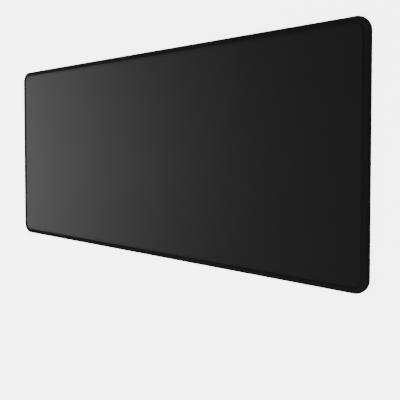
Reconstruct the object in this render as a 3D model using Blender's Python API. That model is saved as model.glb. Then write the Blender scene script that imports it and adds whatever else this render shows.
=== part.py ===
"""Desk mat: a knitted cloth face bonded to a foam-rubber base, with an overlocked edge.

The mat lies flat on the desk. +X runs along its length, +Y across it and +Z up, and the
origin is the centre of its underside. Three flat layers are bonded together. Their rim is
pinched thinner, so that the edge threads lie flush with both faces of the mat.
"""
import math

import bmesh
import bpy

MM = 0.001

# The whole mat
LENGTH = 900 * MM
WIDTH = 400 * MM
THICKNESS = 4.0 * MM
CORNER_RADIUS = 24 * MM
CORNER_STEPS = 16            # straight facets in each rounded corner

# Layers of the laminate
CLOTH_THICKNESS = 0.5 * MM
FILM_THICKNESS = 0.1 * MM
BOND_GAP = 0.02 * MM         # clearance left between bonded layers

# Overlocked edge
STITCH_WIDTH = 8.5 * MM      # from the outer edge to the needle line
THREAD_BUILD = 0.6 * MM      # how thick the looped thread lies on each face and on the edge
THREAD_GAP = 0.1 * MM        # clearance between a thread and what it lies on
NEEDLE_THREAD = 0.4 * MM     # diameter of the needle thread
EDGE_ROUNDING = 1.2 * MM     # radius where the looper threads turn over the edge
SHOULDER = 3.0 * MM          # width over which the layers rise from the pinched rim

# Heights, worked out from the sizes above
PINCH = THREAD_BUILD + THREAD_GAP
MIDDLE = THICKNESS / 2
RIM_TOP = THICKNESS - PINCH
RIM_WIDTH = STITCH_WIDTH + NEEDLE_THREAD + 2 * THREAD_GAP - PINCH

# Colour as linear RGB, and roughness
CLOTH_LOOK = ((0.030, 0.030, 0.030), 0.95)
FILM_LOOK = ((0.020, 0.020, 0.020), 0.5)
RUBBER_LOOK = ((0.018, 0.018, 0.018), 0.85)
THREAD_LOOK = ((0.020, 0.020, 0.020), 0.9)


def clear_scene():
    """Remove every object that the scene starts with."""
    for obj in list(bpy.data.objects):
        bpy.data.objects.remove(obj, do_unlink=True)


def new_collection(name):
    """Make a collection in the scene."""
    collection = bpy.data.collections.new(name)
    bpy.context.scene.collection.children.link(collection)
    return collection


def principled(name, look):
    """A plain material from a colour and a roughness."""
    colour, roughness = look
    material = bpy.data.materials.new(name)
    material.use_nodes = True
    shader = material.node_tree.nodes["Principled BSDF"]
    shader.inputs["Base Color"].default_value = (*colour, 1.0)
    shader.inputs["Roughness"].default_value = roughness
    shader.inputs["Metallic"].default_value = 0.0
    return material


def add_layer(collection, name, look, rim, middle):
    """One layer of the laminate, flat in the middle with a pinched rim.

    rim and middle are each the layer's lowest and highest height there. The layer starts as a
    plane with rounded corners, and two insets mark off the rim and the shoulder inside it.
    """
    rim_bottom, rim_top = rim
    middle_bottom, middle_top = middle
    bm = bmesh.new()
    bmesh.ops.create_grid(bm, x_segments=1, y_segments=1, size=0.5)
    bmesh.ops.scale(bm, vec=(LENGTH - 2 * PINCH, WIDTH - 2 * PINCH, 1), verts=bm.verts)
    bmesh.ops.bevel(
        bm, geom=bm.verts[:], offset=CORNER_RADIUS - PINCH, offset_type="OFFSET",
        segments=CORNER_STEPS, profile=0.5, affect="VERTICES",
    )
    bm.faces.ensure_lookup_table()
    centre = bm.faces[0]
    for width in (RIM_WIDTH, SHOULDER):
        bmesh.ops.inset_region(
            bm, faces=[centre], thickness=width, use_boundary=True, use_even_offset=True
        )
    raised = set(centre.verts)
    for vert in bm.verts:
        vert.co.z = middle_top if vert in raised else rim_top
    halfway = (middle_top + rim_top) / 2
    copied = bmesh.ops.extrude_face_region(bm, geom=bm.faces[:])["geom"]
    for vert in [item for item in copied if isinstance(item, bmesh.types.BMVert)]:
        vert.co.z = middle_bottom if vert.co.z > halfway else rim_bottom
    bmesh.ops.recalc_face_normals(bm, faces=bm.faces[:])
    mesh = bpy.data.meshes.new(name)
    bm.to_mesh(mesh)
    bm.free()
    mesh.materials.append(principled(name, look))
    obj = bpy.data.objects.new(name, mesh)
    collection.objects.link(obj)
    return obj


def new_curve(collection, name, outline):
    """A closed flat curve through straight points."""
    curve = bpy.data.curves.new(name, "CURVE")
    spline = curve.splines.new("POLY")
    spline.points.add(len(outline) - 1)
    for point, (x, y) in zip(spline.points, outline):
        point.co = (x, y, 0, 1)
    spline.use_cyclic_u = True
    obj = bpy.data.objects.new(name, curve)
    collection.objects.link(obj)
    return obj


def arc(centre, radius, start, stop, steps):
    """Points on an arc, from one angle to another in degrees."""
    points = []
    for step in range(steps + 1):
        angle = math.radians(start + (stop - start) * step / steps)
        points.append((centre[0] + radius * math.cos(angle), centre[1] + radius * math.sin(angle)))
    return points


def mat_outline():
    """The mat's outline, as four arcs joined by straight edges.

    It runs clockwise, so that the x of a cross-section swept along it is measured inwards.
    """
    x = LENGTH / 2 - CORNER_RADIUS
    y = WIDTH / 2 - CORNER_RADIUS
    outline = []
    for turn, (side_x, side_y) in enumerate(((1, 1), (-1, 1), (-1, -1), (1, -1))):
        start = 90 * turn
        corner = (side_x * x, side_y * y)
        outline += arc(corner, CORNER_RADIUS, start, start + 90, CORNER_STEPS)
    return list(reversed(outline))


def looper_profile():
    """The upper looper thread's cross-section, as (distance in from the edge, height).

    It starts on the edge at mid-thickness, turns over the edge, runs in to the needle line and
    comes back along the laminate.
    """
    turn_centre = (EDGE_ROUNDING, THICKNESS - EDGE_ROUNDING)
    seam = MIDDLE + THREAD_GAP / 2
    profile = [(0, seam)]
    profile += arc(turn_centre, EDGE_ROUNDING, 180, 90, 4)
    profile += [(STITCH_WIDTH, THICKNESS)]
    profile += [(STITCH_WIDTH, THICKNESS - THREAD_BUILD)]
    profile += [(THREAD_BUILD, THICKNESS - THREAD_BUILD), (THREAD_BUILD, seam)]
    return profile


def add_thread(collection, guides, name, look, profile):
    """A thread that runs all round the mat with one closed cross-section."""
    section = new_curve(guides, name + "_section", profile)
    section.hide_render = True
    section.display_type = "WIRE"
    obj = new_curve(collection, name, mat_outline())
    obj.data.dimensions = "3D"
    obj.data.fill_mode = "FULL"
    obj.data.twist_mode = "Z_UP"
    obj.data.bevel_mode = "OBJECT"
    obj.data.bevel_object = section
    obj.data.materials.append(principled(name, look))
    return obj


def build():
    """Make the whole mat."""
    clear_scene()
    mat = new_collection("desk_mat")
    guides = new_collection("guides")

    cloth = (THICKNESS - CLOTH_THICKNESS, THICKNESS)
    film_top = cloth[0] - BOND_GAP
    film = (film_top - FILM_THICKNESS, film_top)
    rubber = (0, film[0] - BOND_GAP)
    add_layer(mat, "cloth_top", CLOTH_LOOK, [z - PINCH for z in cloth], cloth)
    add_layer(mat, "adhesive_film", FILM_LOOK, [z - PINCH for z in film], film)
    add_layer(mat, "rubber_base", RUBBER_LOOK, (PINCH, rubber[1] - PINCH), rubber)

    upper = looper_profile()
    lower = [(inset, THICKNESS - height) for inset, height in reversed(upper)]
    needle_centre = (
        STITCH_WIDTH + THREAD_GAP + NEEDLE_THREAD / 2,
        RIM_TOP + THREAD_GAP + NEEDLE_THREAD / 2,
    )
    needle = arc(needle_centre, NEEDLE_THREAD / 2, 315, 0, 7)
    add_thread(mat, guides, "upper_looper_thread", THREAD_LOOK, upper)
    add_thread(mat, guides, "lower_looper_thread", THREAD_LOOK, lower)
    add_thread(mat, guides, "needle_thread", THREAD_LOOK, needle)


build()
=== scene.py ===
"""The looks of the desk mat: a knitted cloth face on a foam-rubber base, with an overlocked edge.

The CAD model gives every position. Here the cloth gets its soft shoulder along the seam, and
each of the three overlock threads its own sewn path. Procedural materials make the knit, the
yarn's strands, and the rubber's pores and non-slip net.
"""
import math

import bmesh
import bpy
import numpy as np
from mathutils import Matrix, Vector


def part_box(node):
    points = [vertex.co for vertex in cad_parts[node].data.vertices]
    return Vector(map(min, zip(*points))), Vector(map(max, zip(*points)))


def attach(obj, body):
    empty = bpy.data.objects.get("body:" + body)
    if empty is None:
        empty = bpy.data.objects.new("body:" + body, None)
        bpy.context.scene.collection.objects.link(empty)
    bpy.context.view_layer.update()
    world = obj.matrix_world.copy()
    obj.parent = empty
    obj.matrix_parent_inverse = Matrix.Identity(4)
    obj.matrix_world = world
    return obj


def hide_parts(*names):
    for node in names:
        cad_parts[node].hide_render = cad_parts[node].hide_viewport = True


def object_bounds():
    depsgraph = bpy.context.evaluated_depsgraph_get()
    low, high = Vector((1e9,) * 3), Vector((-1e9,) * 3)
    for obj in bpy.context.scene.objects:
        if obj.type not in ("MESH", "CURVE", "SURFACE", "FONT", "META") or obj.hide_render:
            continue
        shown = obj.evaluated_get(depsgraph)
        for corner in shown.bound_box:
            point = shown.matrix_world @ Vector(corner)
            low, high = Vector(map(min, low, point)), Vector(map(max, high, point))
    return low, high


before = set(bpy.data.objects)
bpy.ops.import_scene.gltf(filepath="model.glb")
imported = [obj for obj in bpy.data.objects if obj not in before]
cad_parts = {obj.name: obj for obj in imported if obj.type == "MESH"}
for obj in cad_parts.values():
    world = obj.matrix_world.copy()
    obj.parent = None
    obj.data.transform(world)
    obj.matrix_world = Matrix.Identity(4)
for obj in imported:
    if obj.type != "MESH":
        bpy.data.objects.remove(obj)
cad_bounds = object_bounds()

MM = 0.001

# The mat's size, read from the frame
LOW, HIGH = cad_bounds
LENGTH = HIGH.x - LOW.x
WIDTH = HIGH.y - LOW.y
THICKNESS = HIGH.z
_, CLOTH_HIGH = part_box("cloth_top")
_, BASE_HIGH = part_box("rubber_base")
NEEDLE_LOW, NEEDLE_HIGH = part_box("needle_thread")
CORNER_RADIUS = 24 * MM

# The laminate's profile near its edge. An inset is measured from the mat's outer edge.
LAMINATE_INSET = HIGH.x - CLOTH_HIGH.x
NEEDLE_INSET = HIGH.x - (NEEDLE_HIGH.x - (NEEDLE_HIGH.z - NEEDLE_LOW.z) / 2)
RIM_INSET = NEEDLE_INSET + 0.3 * MM    # where the pinched rim ends
FLAT_INSET = RIM_INSET + 3.0 * MM      # where the layers reach their full height
SOFT_INSET = FLAT_INSET + 2.0 * MM     # where the cloth's upper face reaches it
FACE_INSET = SOFT_INSET + 1.5 * MM     # where the cloth's gridded face starts
CLOTH_SHEET = 0.5 * MM                 # the cloth's own thickness
CUT_ROUNDING = 0.15 * MM               # how soft the layers' cut edges are
PINCH = 0.7 * MM                       # how much lower each face is at the rim
RIM_TOP = THICKNESS - PINCH
GRID_STEP = 3 * MM                     # between the grid lines of a layer's face
UNEVENNESS = 0.03 * MM                 # size of each slow wave in the cloth

# The overlock stitching
PITCH = 2.0 * MM                       # length of one stitch along the edge
LOOPER_RADIUS = 0.45 * MM
NEEDLE_RADIUS = 0.22 * MM
THREAD_SIDES = 6
UNEVEN_PITCH = 0.03                    # how much stitches vary, as parts of a stitch
UNEVEN_WIDTH = 0.06 * MM               # how much they vary across the edge
EDGE_WRAP = 2 * MM                     # inset within which they don't
UNEVEN_HEIGHT = 0.02 * MM

# The materials: sizes of their features, and the values that a pattern's colours lie between
KNIT_LOOP = 0.8 * MM
LOOP_SPAN = (0.1, 0.75)                # from a loop's middle to the gaps round it
FIBRE = 0.25 * MM
CLOTH_PATCH = 90 * MM
YARN_STRAND = 0.3 * MM
PAINTED_SHADE_DEPTH = 0.9 * MM                # depth below a face from which the yarn is painted in full shade
RUBBER_PORE = 0.5 * MM
RUBBER_CLOUD = 40 * MM
FILM_FLOW = 8 * MM
NOISE_SPAN = (0.3, 0.7)                # the values that most of a noise lies between
RIDGE_SPACING = 3 * MM                 # of the net on the underside
COLOUR_A, COLOUR_B, COLOUR_RESULT = 6, 7, 2    # a mix node's sockets when it mixes colours

# The camera, over the mat's right end
CAMERA_PLACE = (0.739, 0.0105, 0.714)
CAMERA_TARGET = (0.1335, -0.0173, 0.003)
LENS = 46.56                           # in millimetres
SHIFT = (0.0006, -0.09)

# The studio
FLOOR_RADIUS = 12
FLOOR_DROP = 0.05 * MM                 # keeps the floor clear of the mat's underside
FLOOR_GLOW = 5                         # the floor's own light, as an emission strength
BACKDROP_GLOW = FLOOR_GLOW + 0.5       # the surround as the camera sees it
HORIZON_LIGHT = 0.8                    # the surround's light near the horizon
OVERHEAD_LIGHT = 0.33                  # and above it
HORIZON_BAND = (0.1, 0.4)              # height over which one fades into the other
SOFTBOXES = (                          # name, place, what it points at, size, watts
    ("left_softbox", (-1.7, -0.06, 0.9), (-0.3, 0, 0), (1.6, 1.0), 47),
    ("front_softbox", (0.7, -1.2, 0.6), (0.35, -0.1, 0), (1.0, 0.6), 6),
)


# ---------------------------------------------------------------- the mat's outline

def outline_points(distance, inset):
    """Points at distances along the mat's outline and moved inside it, as x, y columns.

    The outline runs anticlockwise from the left end of the straight front edge.
    """
    distance, inset = np.broadcast_arrays(np.asarray(distance, float), np.asarray(inset, float))
    arc_length = math.pi / 2 * CORNER_RADIUS
    start = np.array([-LENGTH / 2 + CORNER_RADIUS, -WIDTH / 2])
    left = np.mod(distance, perimeter())
    points = np.zeros(distance.shape + (2,))
    for side in range(4):
        turn = side * math.pi / 2
        along = np.array([math.cos(turn), math.sin(turn)])
        outward = np.array([math.sin(turn), -math.cos(turn)])
        straight = (LENGTH if side % 2 == 0 else WIDTH) - 2 * CORNER_RADIUS
        here = (left >= 0) & (left < straight)
        spot = start + left[..., None] * along - inset[..., None] * outward
        points[here] = spot[here]
        left = left - straight
        centre = start + straight * along - CORNER_RADIUS * outward
        here = (left >= 0) & (left < arc_length)
        angle = turn - math.pi / 2 + left / CORNER_RADIUS
        ray = np.stack([np.cos(angle), np.sin(angle)], axis=-1)
        spot = centre + (CORNER_RADIUS - inset)[..., None] * ray
        points[here] = spot[here]
        left = left - arc_length
        left[left < 0] = -1
        start = centre + CORNER_RADIUS * along
    return points


def perimeter():
    """Length of the mat's outer edge."""
    return 2 * (LENGTH + WIDTH - 4 * CORNER_RADIUS) + 2 * math.pi * CORNER_RADIUS


# ---------------------------------------------------------------- the laminate's plates

def stops(half, radius):
    """Grid lines across the mat in one direction, close to GRID_STEP apart.

    The lines nearest each end are spread over the rounded corner's width.
    """
    inner = half - radius
    corner = np.linspace(-half, -inner, max(2, round(radius / GRID_STEP)) + 1)
    middle = np.linspace(-inner, inner, round(2 * inner / GRID_STEP) + 1)
    return np.concatenate([corner[:-1], middle, -corner[::-1][1:]])


def rounded_grid(inset):
    """A grid of x, y points that fills the rounded outline, and the outward directions there.

    In each corner the square of grid lines is drawn into a quarter disc.
    """
    radius = CORNER_RADIUS - inset
    half = np.array([LENGTH / 2 - inset, WIDTH / 2 - inset])
    x, y = np.meshgrid(stops(half[0], radius), stops(half[1], radius), indexing="ij")
    flat = np.stack([x, y], axis=-1)
    core = np.clip(flat, radius - half, half - radius)
    reach = (flat - core) / radius
    squeezed = reach * np.sqrt(1 - reach[..., ::-1] ** 2 / 2)
    return core + squeezed * radius, squeezed


def edge_loop(rows, columns):
    """Grid indices of the outer ring of points, in order round the grid."""
    index = np.arange(rows * columns).reshape(rows, columns)
    return np.concatenate([index[:-1, 0], index[-1, :-1], index[:0:-1, -1], index[0, :0:-1]])


def plate(name, profile, relief, pucker):
    """One layer of the laminate as a closed mesh.

    profile is a list of (inset, height, share), from the rim of the gridded face, over the
    layer's edge, to the rim of its other face. relief(x, y) is added to the gridded face's
    height, and each point's share of pucker(distance) to the height round the edge.
    """
    first_inset, first_height, _ = profile[0]
    grid, direction = rounded_grid(first_inset)
    rows, columns, _ = grid.shape
    ring = edge_loop(rows, columns)
    flat = grid.reshape(-1, 2)
    outward = direction.reshape(-1, 2)[ring]
    outward /= np.linalg.norm(outward, axis=1, keepdims=True)
    around = flat[ring]
    steps = np.linalg.norm(np.diff(around, axis=0, append=around[:1]), axis=1)
    distance = np.cumsum(steps) - steps[0]
    height = first_height + relief(flat[:, 0], flat[:, 1])
    height[ring] = first_height
    layers = [np.column_stack([flat, height])]
    for inset, rest_height, share in profile[1:]:
        spot = around + outward * (first_inset - inset)
        layers.append(np.column_stack([spot, rest_height + share * pucker(distance)]))
    index = np.arange(rows * columns).reshape(rows, columns)
    corners = (index[:-1, :-1], index[1:, :-1], index[1:, 1:], index[:-1, 1:])
    faces = np.stack(corners, axis=-1).reshape(-1, 4).tolist()
    previous = ring
    for layer in range(1, len(profile)):
        offset = rows * columns + (layer - 1) * len(ring)
        current = np.arange(len(ring)) + offset
        band = (previous, np.roll(previous, -1), np.roll(current, -1), current)
        faces += np.stack(band, axis=-1).tolist()
        previous = current
    faces.append(previous.tolist())
    return new_mesh(name, np.concatenate(layers), faces)


def new_mesh(name, points, faces):
    """A smooth-shaded object from points and faces, with its faces turned outwards."""
    mesh = bpy.data.meshes.new(name)
    mesh.from_pydata(points.tolist(), [], faces)
    bm = bmesh.new()
    bm.from_mesh(mesh)
    bmesh.ops.recalc_face_normals(bm, faces=bm.faces[:])
    bm.to_mesh(mesh)
    bm.free()
    mesh.shade_smooth()
    obj = bpy.data.objects.new(name, mesh)
    bpy.context.scene.collection.objects.link(obj)
    return obj


def cloth_relief(x, y):
    """The nap's slow unevenness, a few hundredths of a millimetre."""
    wave = np.sin(x * 37 + 2.1 * np.sin(y * 23)) * np.sin(y * 41 + 1.7 * np.sin(x * 19))
    return UNEVENNESS * wave


def seam_pucker(distance):
    """How the cloth is drawn down along the seam, uneven from stitch to stitch."""
    slow = np.sin(distance / MM * 0.23) + np.sin(distance / MM * 0.41 + 1.3)
    quick = np.sin(distance / MM * 0.97 + 0.4)
    return UNEVENNESS * slow + UNEVENNESS * quick


def smooth(*where):
    """No relief or pucker anywhere."""
    return np.zeros_like(where[0])


def make_cloth():
    """The knitted face cloth, drawn down under the edge stitches."""
    top, rim = CLOTH_HIGH.z, RIM_TOP
    bottom, rim_bottom = top - CLOTH_SHEET, rim - CLOTH_SHEET
    outer, soft = LAMINATE_INSET, CUT_ROUNDING
    profile = [(FACE_INSET, top, 0)]
    for share in np.linspace(1, 0, 9):
        rise = share * share * (3 - 2 * share)
        drawn = 4 * share * (1 - share)
        profile.append((RIM_INSET + share * (SOFT_INSET - RIM_INSET), rim + rise * PINCH, drawn))
    profile += [
        (outer + soft, rim, 0),
        (outer, rim - soft, 0),
        (outer, rim_bottom + soft, 0),
        (outer + soft, rim_bottom, 0),
        (RIM_INSET, rim_bottom, 0),
        (FLAT_INSET, bottom, 0),
        (FACE_INSET, bottom, 0),
    ]
    return plate("cloth_face", profile, cloth_relief, seam_pucker)


def make_base():
    """The foam-rubber base, pinched thinner under the edge stitches."""
    top, rim_top = BASE_HIGH.z, BASE_HIGH.z - PINCH
    outer, soft = LAMINATE_INSET, CUT_ROUNDING
    profile = [
        (FLAT_INSET, 0, 0),
        (RIM_INSET, PINCH, 0),
        (outer + soft, PINCH, 0),
        (outer, PINCH + soft, 0),
        (outer, rim_top - soft, 0),
        (outer + soft, rim_top, 0),
        (RIM_INSET, rim_top, 0),
        (FLAT_INSET, top, 0),
    ]
    return plate("foam_base", profile, smooth, smooth)


# ---------------------------------------------------------------- the sewn threads

def sewn_path(pattern, phase, radius, seed):
    """A thread's path round the mat: one stitch's points, repeated and slightly uneven.

    pattern holds (part of a stitch, inset, height) for one stitch, and phase shifts it along
    the edge. The path keeps high enough for a thread of this radius to stay above the desk.
    """
    count = round(perimeter() / PITCH)
    shape = np.array(pattern)
    stitch = np.repeat(np.arange(count), len(shape))
    part, inset, height = np.tile(shape, (count, 1)).T
    uneven = np.random.default_rng(seed).normal(0, 1, (3, count))[:, stitch]
    along = stitch + phase + part + UNEVEN_PITCH * uneven[0]
    inset = inset + UNEVEN_WIDTH * uneven[1] * (inset > EDGE_WRAP)
    height = np.maximum(height + UNEVEN_HEIGHT * uneven[2], radius)
    spot = outline_points(along * perimeter() / count, inset)
    return np.column_stack([spot, height])


def unit(vectors):
    """Vectors scaled to length 1."""
    return vectors / np.linalg.norm(vectors, axis=-1, keepdims=True)


def thread(name, pattern, phase, radius, seed):
    """A closed tube along a sewn path, with no twist that the path doesn't need."""
    path = sewn_path(pattern, phase, radius, seed)
    tangents = unit(np.roll(path, -1, axis=0) - np.roll(path, 1, axis=0))
    normals = np.empty_like(path)
    normal = np.cross(tangents[0], (0.3, 0.5, 0.8))
    for i, tangent in enumerate(tangents):
        normal = normal - tangent * np.dot(normal, tangent)
        normal = normal / math.sqrt(np.dot(normal, normal))
        normals[i] = normal
    sides = np.cross(tangents, normals)
    # Where the path closes, the sides have turned a little. That turn is spread along the path.
    closing = math.atan2(normals[0] @ sides[-1], normals[0] @ normals[-1])
    drift = closing * np.arange(len(path)) / len(path)
    turns = np.arange(THREAD_SIDES) * 2 * math.pi / THREAD_SIDES
    angle = drift[:, None] + turns[None, :]
    rings = path[:, None] + radius * (
        normals[:, None] * np.cos(angle)[..., None] + sides[:, None] * np.sin(angle)[..., None]
    )
    index = np.arange(len(path) * THREAD_SIDES).reshape(len(path), THREAD_SIDES)
    across = np.roll(index, -1, axis=1)
    corners = (index, across, np.roll(across, -1, axis=0), np.roll(index, -1, axis=0))
    faces = np.stack(corners, axis=-1).reshape(-1, 4).tolist()
    return new_mesh(name, rings.reshape(-1, 3), faces)


def looper_pattern():
    """One stitch of the upper looper thread, from the needle line to a hook on the edge and back.

    It lies pressed a quarter of its radius into the cloth.
    """
    lie = RIM_TOP + 0.75 * LOOPER_RADIUS
    side = LOOPER_RADIUS
    hook = THICKNESS / 2 - 0.5 * MM
    outwards = [
        (0.17, NEEDLE_INSET - 0.75 * MM, lie),
        (0.24, NEEDLE_INSET - 2.2 * MM, lie + 0.03 * MM),
        (0.25, 0.95 * MM, lie - 0.12 * MM),
        (0.25, side, lie - 0.55 * MM),
        (0.32, side, hook + 0.15 * MM),
    ]
    back = [(1 - part, inset, height) for part, inset, height in reversed(outwards)]
    at_needle = (0, NEEDLE_INSET - 0.45 * MM, lie)
    at_hook = (0.5, side - 0.04 * MM, hook)
    return [at_needle, *outwards, at_hook, *back]


def needle_pattern():
    """One stitch of the needle thread: along the top, down a hole, a small loop, and up again."""
    top = RIM_TOP + 1.1 * NEEDLE_RADIUS
    under = PINCH - 1.1 * NEEDLE_RADIUS
    line = NEEDLE_INSET
    return [
        (0.10, line, top - 0.05 * MM),
        (0.30, line, top + 0.06 * MM),
        (0.70, line, top + 0.06 * MM),
        (0.90, line, top - 0.05 * MM),
        (0.97, line, RIM_TOP - 0.6 * MM),
        (0.97, line, PINCH + 0.4 * MM),
        (0.93, line - 0.3 * MM, under),
        (1.00, line - 0.8 * MM, under - 0.05 * MM),
        (1.07, line - 0.3 * MM, under),
        (1.03, line, PINCH + 0.4 * MM),
        (1.03, line, RIM_TOP - 0.6 * MM),
    ]


def make_threads():
    """The three threads of the overlocked edge."""
    upper = looper_pattern()
    lower = [(part, inset, THICKNESS - height) for part, inset, height in upper]
    return (
        thread("needle_stitches", needle_pattern(), 0, NEEDLE_RADIUS, seed=11),
        thread("upper_looper_stitches", upper, 0, LOOPER_RADIUS, seed=12),
        thread("lower_looper_stitches", lower, 0.5, LOOPER_RADIUS, seed=13),
    )


# ---------------------------------------------------------------- materials

class Nodes:
    """Short ways to add and link a material's nodes."""

    def __init__(self, name, colour, roughness, specular, sheen=0.0, sheen_roughness=0.5):
        self.material = bpy.data.materials.new(name)
        self.material.use_nodes = True
        self.tree = self.material.node_tree
        self.shader = self.tree.nodes["Principled BSDF"]
        self.shader.inputs["Base Color"].default_value = (*colour, 1)
        self.shader.inputs["Roughness"].default_value = roughness
        self.shader.inputs["Specular IOR Level"].default_value = specular
        self.shader.inputs["Sheen Weight"].default_value = sheen
        self.shader.inputs["Sheen Roughness"].default_value = sheen_roughness
        self.where = self.add("ShaderNodeTexCoord").outputs["Object"]

    def add(self, kind, **values):
        """A node, with its inputs or properties set by name."""
        node = self.tree.nodes.new(kind)
        for key, value in values.items():
            name = key.replace("_", " ")
            if name in node.inputs:
                node.inputs[name].default_value = value
            else:
                setattr(node, key, value)
        return node

    def link(self, output, node, socket):
        """Link an output to a node's input, given by its name or place."""
        self.tree.links.new(output, node.inputs[socket])

    def noise(self, size, detail):
        """Noise with features of about the given size, in metres."""
        node = self.add("ShaderNodeTexNoise", Scale=1 / size, Detail=detail)
        self.link(self.where, node, "Vector")
        return node.outputs["Fac"]

    def cells(self, size, randomness):
        """Rounded cells of about the given size: 0 in each middle, higher between them."""
        node = self.add("ShaderNodeTexVoronoi", Scale=1 / size, Randomness=randomness)
        self.link(self.where, node, "Vector")
        return node.outputs["Distance"]

    def net(self, spacing):
        """Two crossed sets of diagonal ridges, from 0 in the meshes to 1 on the ridges."""
        sets = []
        for turn in (-math.pi / 4, math.pi / 4):
            turned = self.add("ShaderNodeMapping", Rotation=(0, 0, turn))
            self.link(self.where, turned, "Vector")
            # At scale 1 a wave texture repeats every pi / 10 metres
            wave = self.add("ShaderNodeTexWave", Scale=math.pi / 10 / spacing)
            self.link(turned.outputs["Vector"], wave, "Vector")
            sets.append(wave.outputs["Fac"])
        return self.calculate("MAXIMUM", *sets)

    def ramp(self, value, low, high, first, last):
        """A colour that goes from the first one at a low value to the last at a high one."""
        node = self.add("ShaderNodeValToRGB")
        for stop, place, colour in zip(node.color_ramp.elements, (low, high), (first, last)):
            stop.position = place
            stop.color = (*colour, 1)
        self.link(value, node, "Fac")
        return node.outputs["Color"]

    def span(self, value, low, high):
        """How far a value has come from low to high, from 0 to 1."""
        node = self.add("ShaderNodeMapRange", From_Min=low, From_Max=high)
        self.link(value, node, "Value")
        return node.outputs["Result"]

    def calculate(self, operation, *values):
        """The result of a calculation on outputs and constants."""
        node = self.add("ShaderNodeMath", operation=operation)
        for place, value in enumerate(values):
            if isinstance(value, float):
                node.inputs[place].default_value = value
            else:
                self.link(value, node, place)
        return node.outputs["Value"]

    def mix(self, factor, first, second):
        """A mix of two colours, all the first at factor 0 and all the second at 1."""
        node = self.add("ShaderNodeMix", data_type="RGBA")
        self.link(factor, node, 0)
        self.link(first, node, COLOUR_A)
        self.link(second, node, COLOUR_B)
        return node.outputs[COLOUR_RESULT]

    def bump(self, height, depth, strength, base=None):
        """A bump of the given depth in metres, on top of another."""
        node = self.add("ShaderNodeBump", Strength=strength, Distance=depth)
        self.link(height, node, "Height")
        if base:
            self.link(base, node, "Normal")
        return node.outputs["Normal"]


def grey(value):
    """A neutral grey as a linear colour."""
    return (value, value, value)


def cloth_material():
    """Black brushed knit: rows of tiny loops, softly uneven, with a fibre sheen."""
    cloth = Nodes(
        "black_knit", grey(0.010), roughness=0.6, specular=0.08, sheen=0.1, sheen_roughness=0.45
    )
    loops = cloth.cells(KNIT_LOOP, 0.35)
    fibres = cloth.noise(FIBRE, 3)
    patches = cloth.noise(CLOTH_PATCH, 4)
    knit = cloth.ramp(loops, *LOOP_SPAN, grey(0.013), grey(0.006))
    worn = cloth.ramp(loops, *LOOP_SPAN, grey(0.016), grey(0.008))
    colour = cloth.mix(patches, knit, worn)
    cloth.link(colour, cloth.shader, "Base Color")
    normal = cloth.bump(loops, 0.08 * MM, 0.5)
    normal = cloth.bump(fibres, 0.03 * MM, 0.4, normal)
    cloth.link(normal, cloth.shader, "Normal")
    return cloth.material


def thread_material():
    """Black textured polyester yarn, with painted shade that makes it darkest round the mat's
    side, away from its faces.
    """
    yarn = Nodes("black_yarn", grey(0.012), roughness=0.9, specular=0.0)
    strands = yarn.noise(YARN_STRAND, 3)
    yarn_tone = yarn.ramp(strands, *NOISE_SPAN, grey(0.018), grey(0.032))
    # Painted shade: the yarn round the mat's side, away from its faces, is coloured near black
    painted_side_shade = yarn.ramp(strands, *NOISE_SPAN, grey(0.0005), grey(0.001))
    split = yarn.add("ShaderNodeSeparateXYZ")
    yarn.link(yarn.where, split, "Vector")
    # The painted shade grows with the distance below the nearer face
    middle = THICKNESS / 2
    above = yarn.calculate("SUBTRACT", split.outputs["Z"], middle)
    apart = yarn.calculate("ABSOLUTE", above)
    on_face = yarn.span(apart, middle - PAINTED_SHADE_DEPTH, middle)
    yarn.link(yarn.mix(on_face, painted_side_shade, yarn_tone), yarn.shader, "Base Color")
    yarn.link(yarn.bump(strands, 0.06 * MM, 0.6), yarn.shader, "Normal")
    return yarn.material


def rubber_material():
    """Matt black foam rubber, with fine pores and a moulded net of non-slip ridges."""
    rubber = Nodes("foam_rubber", grey(0.015), roughness=0.75, specular=0.35)
    pores = rubber.cells(RUBBER_PORE, 1.0)
    cloud = rubber.noise(RUBBER_CLOUD, 3)
    ridges = rubber.net(RIDGE_SPACING)
    worn = rubber.ramp(cloud, *NOISE_SPAN, grey(0.012), grey(0.020))
    dusty = rubber.ramp(cloud, *NOISE_SPAN, grey(0.018), grey(0.028))
    rubber.link(rubber.mix(ridges, worn, dusty), rubber.shader, "Base Color")
    normal = rubber.bump(ridges, 0.25 * MM, 0.8)
    rubber.link(rubber.bump(pores, 0.05 * MM, 0.4, normal), rubber.shader, "Normal")
    return rubber.material


def film_material():
    """Dark, slightly glossy hot-melt film."""
    film = Nodes("hot_melt_film", grey(0.020), roughness=0.5, specular=0.4)
    flow = film.noise(FILM_FLOW, 3)
    film.link(film.ramp(flow, *NOISE_SPAN, grey(0.016), grey(0.024)), film.shader, "Base Color")
    film.link(film.bump(flow, 0.02 * MM, 0.3), film.shader, "Normal")
    return film.material


# ---------------------------------------------------------------- camera, floor and light

def make_camera():
    """A camera over the mat's right end that looks down along it, with +Y up in the picture."""
    place = Vector(CAMERA_PLACE)
    forward = (Vector(CAMERA_TARGET) - place).normalized()
    right = forward.cross(Vector((0, 1, 0))).normalized()
    up = right.cross(forward)
    camera = bpy.data.cameras.new("camera")
    camera.lens = LENS
    camera.shift_x, camera.shift_y = SHIFT
    obj = bpy.data.objects.new("camera", camera)
    axes = Matrix((right, up, -forward)).transposed()
    obj.matrix_world = Matrix.Translation(place) @ axes.to_4x4()
    bpy.context.scene.collection.objects.link(obj)
    bpy.context.scene.camera = obj


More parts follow.
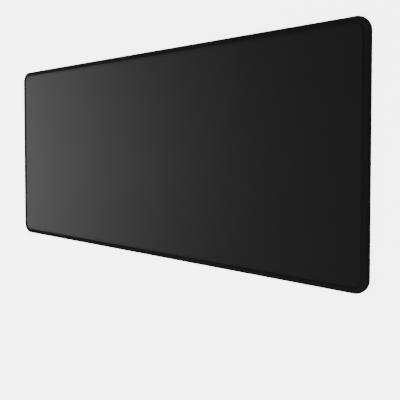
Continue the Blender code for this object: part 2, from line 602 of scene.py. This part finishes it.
def make_floor():
    """A wide, plain, pale floor that glows a little, like a lit studio sweep."""
    bpy.ops.mesh.primitive_circle_add(vertices=96, radius=FLOOR_RADIUS, fill_type="NGON")
    floor = bpy.context.object
    floor.name = "studio_floor"
    floor.location.z = -FLOOR_DROP
    paint = Nodes("pale_floor", grey(0.85), roughness=0.9, specular=0.1)
    paint.shader.inputs["Emission Color"].default_value = (1, 1, 1, 1)
    paint.shader.inputs["Emission Strength"].default_value = FLOOR_GLOW
    floor.data.materials.append(paint.material)


def add_softbox(name, place, aim, size, power):
    """A large soft light at one place, pointed at another."""
    light = bpy.data.lights.new(name, "AREA")
    light.shape = "RECTANGLE"
    light.size, light.size_y = size
    light.energy = power
    obj = bpy.data.objects.new(name, light)
    obj.location = place
    obj.rotation_euler = (Vector(aim) - Vector(place)).to_track_quat("-Z", "Y").to_euler()
    bpy.context.scene.collection.objects.link(obj)


def make_light():
    """A broad light low on the left and a weak one in front, in a dim surround.

    The surround looks as pale as the floor, so that the floor has no visible far edge.
    """
    for softbox in SOFTBOXES:
        add_softbox(*softbox)
    world = bpy.data.worlds.new("studio")
    world.use_nodes = True
    tree = world.node_tree
    surround = tree.nodes["Background"]
    where = tree.nodes.new("ShaderNodeTexCoord")
    split = tree.nodes.new("ShaderNodeSeparateXYZ")
    fade = tree.nodes.new("ShaderNodeMapRange")
    fade.interpolation_type = "SMOOTHSTEP"
    names = ("From Min", "From Max", "To Min", "To Max")
    for name, value in zip(names, (*HORIZON_BAND, HORIZON_LIGHT, OVERHEAD_LIGHT)):
        fade.inputs[name].default_value = value
    ray = tree.nodes.new("ShaderNodeLightPath")
    seen = tree.nodes.new("ShaderNodeMix")
    seen.inputs["B"].default_value = BACKDROP_GLOW
    tree.links.new(where.outputs["Generated"], split.inputs["Vector"])
    tree.links.new(split.outputs["Z"], fade.inputs["Value"])
    tree.links.new(ray.outputs["Is Camera Ray"], seen.inputs["Factor"])
    tree.links.new(fade.outputs["Result"], seen.inputs["A"])
    tree.links.new(seen.outputs["Result"], surround.inputs["Strength"])
    surround.inputs["Color"].default_value = (1, 1, 1, 1)
    bpy.context.scene.world = world


# ---------------------------------------------------------------- the mat

def dress(piece, node, material):
    """Give a new piece its body and its material, and hide the CAD node that it stands for."""
    piece.data.materials.append(material)
    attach(piece, "root")
    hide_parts(node)


make_camera()
cloth = make_cloth()
base = make_base()
needle, upper_looper, lower_looper = make_threads()
yarn_black = thread_material()
dress(cloth, "cloth_top", cloth_material())
dress(base, "rubber_base", rubber_material())
dress(needle, "needle_thread", yarn_black)
dress(upper_looper, "upper_looper_thread", yarn_black)
dress(lower_looper, "lower_looper_thread", yarn_black)
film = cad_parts["adhesive_film"]
film.material_slots[0].material = film_material()

make_floor()
make_light()
